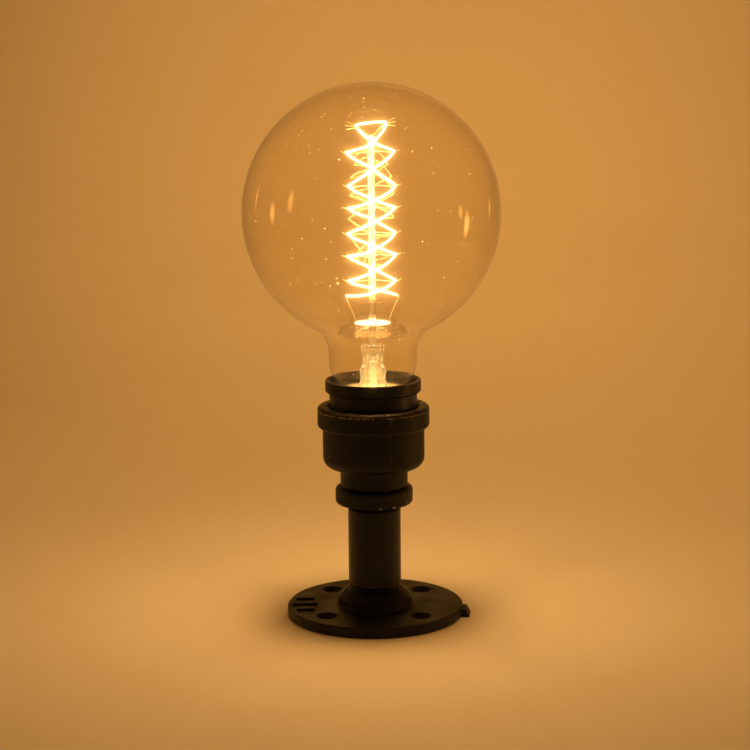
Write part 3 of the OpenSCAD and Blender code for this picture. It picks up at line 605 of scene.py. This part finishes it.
def clear_glass(name, glow, glow_z, least, rims=()):
    """Stem and rod glass. Emission paints the light that it carries from the filament, in painted
    glints: from the least share at the first height to all of it at the second. Painted glints
    also run round its rims at the heights given."""
    f = Finish(name, IOR=1.55, Transmission_Weight=1.0, Emission_Strength=glow)
    patches = f.group(mottle, Scale=260)
    glints = f.group(streaks, Across=800, Along=260)
    height = height_of(f.tree, place_on(f.tree))
    carried = spread(f.tree, height, glow_z[0] * MM, glow_z[1] * MM, least)
    lit = maths(f.tree, "MULTIPLY", carried, f.ramp(glints, -0.6, 2.0))
    shine = f.blend(lit, (0.02, 0.008, 0.002), (1.0, 0.62, 0.22))
    # Painted glints round the rims of the stem's pinched top, where they would catch the
    # filament's light
    for z in rims:
        rim = f.group(wear_and_glint_ring, Height=z * MM, Width=0.00022, Breakup=350, Low=0.35,
                      High=0.55)
        shine = f.blend(rim, shine, (1.0, 0.7, 0.3))
    f.link("Emission Color", shine)
    f.link("Base Color", f.blend(patches, (0.97, 0.95, 0.91), (1.0, 0.99, 0.97)))
    f.link("Roughness", f.ramp(patches, 0.0, 0.06))
    f.bump(f.group(cast_skin, Grain=500, Lumps=180, Grain_share=0.1), 0.0004)
    clear_to_shadows(f)
    return f.material


def glowing_filament():
    """Lit filament, a little uneven in its glow."""
    f = Finish("glowing_filament", Roughness=0.6, Base_Color=(0.1, 0.08, 0.07, 1),
               Emission_Strength=FILAMENT_GLOW)
    patches = f.group(mottle, Scale=900)
    f.link("Emission Color", f.blend(patches, (1.0, 0.53, 0.165), (1.0, 0.57, 0.195)))
    return f.material


flange_iron = black_iron("black_cast_flange")
reducer_iron = black_iron("black_cast_reducer", [MOUTH_LINE, BAND_SCUFF])
pipe = black_pipe()
phenolic = black_phenolic()
brass = metal("contact_brass", (0.72, 0.5, 0.2), (0.48, 0.31, 0.12), 0.25, 0.45)
dark_steel = metal("black_oxide_steel", (0.05, 0.045, 0.04), (0.03, 0.026, 0.023), 0.35, 0.5)
steel = metal("zinc_plated_steel", (0.55, 0.53, 0.48), (0.4, 0.38, 0.33), 0.3, 0.5)
cap_metal = metal("nickel_plated_cap", (0.66, 0.6, 0.5), (0.5, 0.44, 0.36), 0.22, 0.42)
solder = metal("lead_free_solder", (0.6, 0.58, 0.54), (0.42, 0.4, 0.37), 0.35, 0.6)
# Support and lead wires get a painted glow for the filament's light
lamp_wire = painted_glow_wire("lamp_support_wire", 1.4)
lead_metal = painted_glow_wire("lamp_lead_wire", 0.6)
glass = amber_glass()
# Stem and rod glass with a painted glow for light carried from the filament
stem_glass = clear_glass("clear_stem_glass", 0.33, STEM_GLOW_Z, 0.2,
                         (PINCH_Z - 0.4, PINCH_Z - 2.8))
rod_glass = clear_glass("clear_rod_glass", 1.8, ROD_GLOW_Z, 0.04)
filament_glow = glowing_filament()

CAD_FINISH = {
    "floor_flange": flange_iron, "bell_reducer": reducer_iron, "pipe_nipple": pipe,
    "grub_screws": dark_steel, "holder_base": phenolic, "holder_skirt": phenolic,
    "holder_core": porcelain(), "screw_shell": brass, "shell_rivets": brass,
    "contact_foot": brass, "centre_contact": brass, "contact_rivet": brass,
    "live_terminal": brass, "neutral_terminal": brass, "terminal_screws": steel,
    "live_wire": plastic("brown_insulation", (0.16, 0.07, 0.03), (0.11, 0.045, 0.02)),
    "neutral_wire": plastic("blue_insulation", (0.05, 0.12, 0.3), (0.035, 0.085, 0.23)),
    "wire_sleeve": braided_sleeve(), "wire_ferrules": steel, "heat_disc": mica(),
    "bulb_cap": cap_metal, "cap_cement": cement(), "cap_insulator": black_glass(),
    "cap_contact": solder,
}
for name, material in CAD_FINISH.items():
    mesh = nodes[name].data
    mesh.materials.clear()
    mesh.materials.append(material)


# Bulb pieces


def glass_outline(inward):
    """Outline of the bulb's glass from its seal to its top, moved inward."""
    r, n, q = GLOBE_R - inward, NECK_R - inward, FILLET_R + inward
    s, high = SEAL_R - inward, SHOULDER_H - inward
    meet = math.degrees(math.atan2(FILLET_Z - GLOBE_Z, n + q))
    shoulder = arc(s, SHOULDER_Z + SHOULDER_H, n - s, -high, 84, 0, 14)
    fillet = arc(n + q, FILLET_Z, q, q, 180, 180 + meet, 14)
    globe = arc(0, GLOBE_Z, r, r, meet + 2, 90, 60)
    seal, top = [(s, SEAL_Z), (s, SHOULDER_Z + inward)], [(0, GLOBE_Z + r)]
    return seal + shoulder + fillet[1:] + globe[:-1] + top


bm = bmesh.new()
lathe(bm, glass_outline(0) + glass_outline(GLOBE_T)[::-1], 144)
finish_piece("globe_glass", bm, glass, "bulb", ["bulb_globe"])

rng = random.Random(7)


def hook_height(k):
    """Height of hook k, counted in quarter turns from the lead-in wires."""
    even = k * FIRST_RISE / 2 if k < 2 else FIRST_RISE + (k - 2) * QUARTER_RISE
    return FILAMENT_Z + even + HOOK_SHIFT[k]


def hook_table(start):
    """Angle, radius and height of each hook of a strand, a little uneven as bent by hand."""
    rows = [(start, COIL_R, hook_height(0))]
    for k in range(1, QUARTERS):
        angle = start + 90 * k + rng.uniform(-HOOK_SWAY, HOOK_SWAY)
        radius = COIL_R - rng.uniform(*HOOK_SHORT)
        rows.append((angle, radius, hook_height(k) + rng.uniform(-HOOK_RISE, HOOK_RISE)))
    angle = start + 90 * QUARTERS
    lean = LOOP_LEAN * math.cos(math.radians(angle))
    return rows + [(angle, LOOP_R, hook_height(QUARTERS) + lean)]


def on_hook(row):
    """Point of a hook from its angle, radius and height."""
    a = math.radians(row[0])
    return Vector((row[1] * math.cos(a), row[1] * math.sin(a), row[2]))


def strand(rows):
    """Points of a strand: it bows out and hangs a little between its hooks."""
    points = []
    for a, b in zip(rows, rows[1:]):
        bow = rng.uniform(*STRAND_BOW)
        for i in range(STRAND_STEPS):
            t = i / STRAND_STEPS
            at = on_hook(a).lerp(on_hook(b), t)
            out = Vector((at.x, at.y, 0)).normalized() * 4 * bow
            points.append(at + (out - Vector((0, 0, STRAND_HANG))) * t * (1 - t))
    return points + [on_hook(rows[-1])]


left, right = hook_table(180), hook_table(0)
bm = bmesh.new()
lay_wire(bm, soften(strand(left) + strand(right)[::-1]), FILAMENT_R)
finish_piece("filament_coil", bm, filament_glow, "bulb", ["filament"])


def hook_path(row):
    """From the rod out to the filament, once round it and a short tail."""
    angle, reach, height = row
    a = math.radians(angle)
    out, side = Vector((math.cos(a), math.sin(a), 0)), Vector((-math.sin(a), math.cos(a), 0))
    up = Vector((0, 0, 1))
    root = min(height, ROD_TOP + 0.3)
    path = [out + up * root, out * 4 + up * (root + (height - root) * 0.3),
            out * (reach - 2.5) + up * (height - 0.5)]
    for i in range(CURL_STEPS):
        turn = math.radians(CURL_START + CURL_TURN * i)
        at = out * (reach + CURL_R * math.cos(turn)) + up * (height + CURL_R * math.sin(turn))
        path.append(at + side * (0.05 * i - 0.3))
    return path + [out * (reach + HOOK_TAIL) + side * 0.8 + up * (height + 0.6)]


bm = bmesh.new()
for rows in (left, right):
    for row in rows[1:-1]:
        lay_wire(bm, soften(hook_path(row), 1), HOOK_R, 6)
# Whiskers from the rod's top past both ends of the loop
for side in (-1, 1):
    end_z = FILAMENT_TOP + LOOP_LEAN * side
    for fan in (-1, 0, 1):
        root = (side * 0.8, 0.3 * fan, ROD_TOP + 0.9)
        knee = (side * (LOOP_R - 0.9), 0.6 * fan, end_z + 0.3 * fan)
        tip = (side * (LOOP_R + WHISKER_REACH - 0.5 * abs(fan)), 1.2 * fan,
               end_z + WHISKER_RISE + WHISKER_FAN * fan)
        lay_wire(bm, soften([root, knee, tip]), HOOK_R, 6)
finish_piece("support_wires", bm, lamp_wire, "bulb", ["support_hooks"])

# Glass rod with a soft bead at each hook and a rounded button on top
outline = [(0, PINCH_Z - 1.5), (ROD_R + 0.9, PINCH_Z - 1.0), (ROD_R + 0.9, PINCH_Z + 0.6),
           (ROD_R + 0.3, PINCH_Z + 1.8)]
for k in range(1, QUARTERS):
    z = hook_height(k)
    if z < ROD_TOP - 4:
        outline += [(ROD_R, z - 1.6), (ROD_R + ROD_BEAD, z - 0.5), (ROD_R + ROD_BEAD, z + 0.5),
                    (ROD_R, z + 1.6)]
outline += [(ROD_R, ROD_TOP - 2.2)] + arc(0, ROD_TOP - 0.2, ROD_R + 0.75, 1.7, -50, 90, 9)
bm = bmesh.new()
lathe(bm, outline, 24)
finish_piece("glass_rod", bm, rod_glass, "bulb", ["support_rod"])

# Flared stem whose top is pinched flat, with the exhaust tube inside
shares = [i / FLARE_STEPS for i in range(FLARE_STEPS + 1)]
flare = [(WAIST_R + FLARE_W * (1 - t) ** 1.3, SEAL_Z + (DOME_Z - 1 - SEAL_Z) * t) for t in shares]
off_knuckle = [min(abs(z - KNUCKLE_Z) / KNUCKLE_REACH, 1) for _, z in flare]
outside = [(r + KNUCKLE_BULGE * (0.5 + 0.5 * math.cos(math.pi * off)), z)
           for (r, z), off in zip(flare, off_knuckle)]
outside += [(STEM_R - 0.4, DOME_Z + 1.5), (STEM_R, DOME_Z + 2.2), (STEM_R - 0.1, DOME_Z + 3.2),
            (STEM_R + 0.3, DOME_Z + 4), (STEM_R + 0.1, DOME_Z + 5), (STEM_R + 0.4, PINCH_Z - 1.4)]
outside += arc(STEM_R - 0.6, PINCH_Z - 1.0, 1.0, 1.0, 20, 90, 4) + [(0, PINCH_Z)]
inside = [(r - GLASS_T, z) for r, z in flare[:-1]]
inside += arc(0, flare[-2][1], WAIST_R - GLASS_T, 2.4, 20, 90, 5)
bm = bmesh.new()
lathe(bm, outside + inside[::-1], 40)
# The upper part is squeezed flat, by a share that grows softly from 0 to 1
for v in bm.verts:
    t = min(max((v.co.z / MM - DOME_Z + 2) / 6, 0), 1)
    v.co.y *= 1 - (1 - PINCH_T / (2 * STEM_R)) * t * t * (3 - 2 * t)
# Exhaust tube, and the beads round the blow holes
lathe(bm, [(TUBE_BORE_R, SEAL_Z + 2), (TUBE_R, SEAL_Z + 2), (TUBE_R, DOME_Z - 3),
           (TUBE_BORE_R, DOME_Z - 3)], 20)
for side in (-1, 1):
    ring = arc(0, DOME_Z + 0.8, BLOW_HOLE_R, BLOW_HOLE_R, 0, 360, 24)
    lay_wire(bm, [(x, BLOW_HOLE_Y * side, z) for x, z in ring], BLOW_HOLE_BEAD_R)
finish_piece("glass_stem", bm, stem_glass, "bulb", ["bulb_stem"])

# Lead-in wires from the cap through the pinch and past the heat disc to the filament's ends
bm = bmesh.new()
for side in (-1, 1):
    rise = [(side * 2.9, 0.2, SEAL_Z + 3), (side * 2.7, 0, DOME_Z), (side * 3.5, 0, PINCH_Z - 2),
            (side * 3.6, 0, PINCH_Z + 2.5), (side * (DISC_R - 0.6), 0, DISC_Z - 2.5),
            (side * (DISC_R - 0.6), 0, DISC_Z + 2.5), (side * (COIL_R - 0.6), 0, FILAMENT_Z - 2.5),
            (side * COIL_R, 0, FILAMENT_Z + 0.2)]
    lay_wire(bm, soften(rise), LEAD_R)
    clamp = [(side * (COIL_R - 0.25), 0, FILAMENT_Z - 1.9), (side * COIL_R, 0, FILAMENT_Z + 0.5)]
    lay_wire(bm, clamp, LEAD_CLAMP_R)
lay_wire(bm, [(0, 0, SEAL_Z - 13.5), (0.3, 0.2, SEAL_Z - 4), (0, 0, SEAL_Z + 3)], LEAD_R)
finish_piece("lead_wires", bm, lead_metal, "bulb", ["lead_in_wires"])


# Floor, light and camera


def floor_paper():
    """Pale matt paper."""
    f = Finish("pale_paper", Roughness=0.9)
    patches = f.group(mottle, Scale=3, Low=0.3, High=0.7)
    f.link("Base Color", f.blend(patches, (0.78, 0.75, 0.70), (0.80, 0.77, 0.72)))
    return f.material


bm = bmesh.new()
bend = [(0, 0)] + arc(FLOOR_FLAT, FLOOR_BEND, FLOOR_BEND, FLOOR_BEND, -90, 0, 16)
bend.append((FLOOR_FLAT + FLOOR_BEND, WALL_TOP))
lathe(bm, bend, 96, closed=False)
floor = to_object("floor", bm, floor_paper())


def lamp(name, kind, at, energy, aim=None, **settings):
    """A light at a place in metres, turned to what it aims at."""
    data = bpy.data.lights.new(name, kind)
    data.energy = energy
    data.color = WARM
    for key, value in settings.items():
        setattr(data, key, value)
    light = bpy.data.objects.new(name, data)
    light.location = at
    if aim is not None:
        light.rotation_euler = (Vector(aim) - Vector(at)).to_track_quat("-Z", "Y").to_euler()
    light.visible_camera = False
    scene.collection.objects.link(light)
    return light


# Studio lamps: name, watts, place, aim and the cone's angle
for name, watts, at, aim, cone in (
        ("floor_lamp", FLOOR_LAMP, (0.15, 0.25, 1.5), (0.06, 0.1, 0), 64),
        ("bend_lamp", BEND_LAMP, (0.12, 0.3, 1.6), (0.08, 0.6, 0), 50),
        ("low_wall_lamp", LOW_WALL_LAMP, (0.12, 0.3, 1.6), (0.08, 1.0, 0.05), 54),
        ("wall_lamp", WALL_LAMP, (0.13, 0.2, 1.5), (0.04, 1.25, 0.4), 54),
        ("left_wall_lamp", SIDE_WALL_LAMP, (-0.45, 0.2, 1.4), (-1.0, 0.75, 0.3), 50),
        ("right_wall_lamp", SIDE_WALL_LAMP, (0.45, 0.2, 1.4), (1.0, 0.75, 0.3), 50)):
    light = lamp(name, "SPOT", at, watts, aim, spot_size=math.radians(cone), spot_blend=1,
                 shadow_soft_size=LAMP_SOFT)
    light.visible_glossy = light.visible_transmission = False
# Strip lamps that mirror in the globe: place, width, height and share of the full strength
for at, wide, tall, share in (
        ((-0.677, -0.21, 0.317), 0.063, 0.157, 1.0),
        ((-0.701, 0.031, 0.201), 0.063, 0.126, 1.0),
        ((-0.609, 0.324, 0.26), 0.031, 0.12, 0.4),
        ((0.697, -0.115, 0.214), 0.05, 0.088, 1.0),
        ((0.657, -0.025, 0.113), 0.06, 0.14, 1.7),
        ((0.662, -0.025, 0.13), 0.2, 0.18, 0.08),
        ((0.581, 0.369, 0.188), 0.031, 0.082, 0.4)):
    for scale, part, back in STRIP_FADE:
        watts = part * share * STRIP_LAMP * wide * tall * scale ** 2
        light = lamp("strip_lamp", "AREA", Vector(at) * back, watts, (0, 0, 0.2), shape="ELLIPSE",
                     size=wide * scale, size_y=tall * scale)
        light.visible_transmission = False
# Light that gathers in the stem
stem_light = lamp("stem_light", "POINT", (0, 0, STEM_LAMP_Z), STEM_LAMP, shadow_soft_size=0.003)
stem_light.visible_glossy = stem_light.visible_transmission = False
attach(stem_light, "bulb")

world = bpy.data.worlds.new("studio")
world.use_nodes = True
room = world.node_tree.nodes["Background"]
room.inputs["Color"].default_value = (*WARM, 1)
room.inputs["Strength"].default_value = ROOM_GLOW
scene.world = world
scene.view_settings.view_transform = "Standard"

camera_data = bpy.data.cameras.new("photo_camera")
camera_data.lens = CAMERA_LENS
camera_data.sensor_width = CAMERA_SENSOR
camera = bpy.data.objects.new("photo_camera", camera_data)
camera.matrix_world = (Matrix.Translation(CAMERA_AT)
                       @ Matrix.Rotation(math.radians(90 - CAMERA_PITCH), 4, "X")
                       @ Matrix.Rotation(math.radians(CAMERA_ROLL), 4, "Z"))
scene.collection.objects.link(camera)
scene.camera = camera

scene.use_nodes = True
steps = scene.node_tree
steps.nodes.clear()
image = put(steps, "CompositorNodeRLayers").outputs["Image"]
for glare in GLARES:
    image = put(steps, "CompositorNodeGlare", {"Image": image, **glare}, glare_type="BLOOM",
                quality="HIGH").outputs["Image"]
put(steps, "CompositorNodeComposite", {"Image": image})
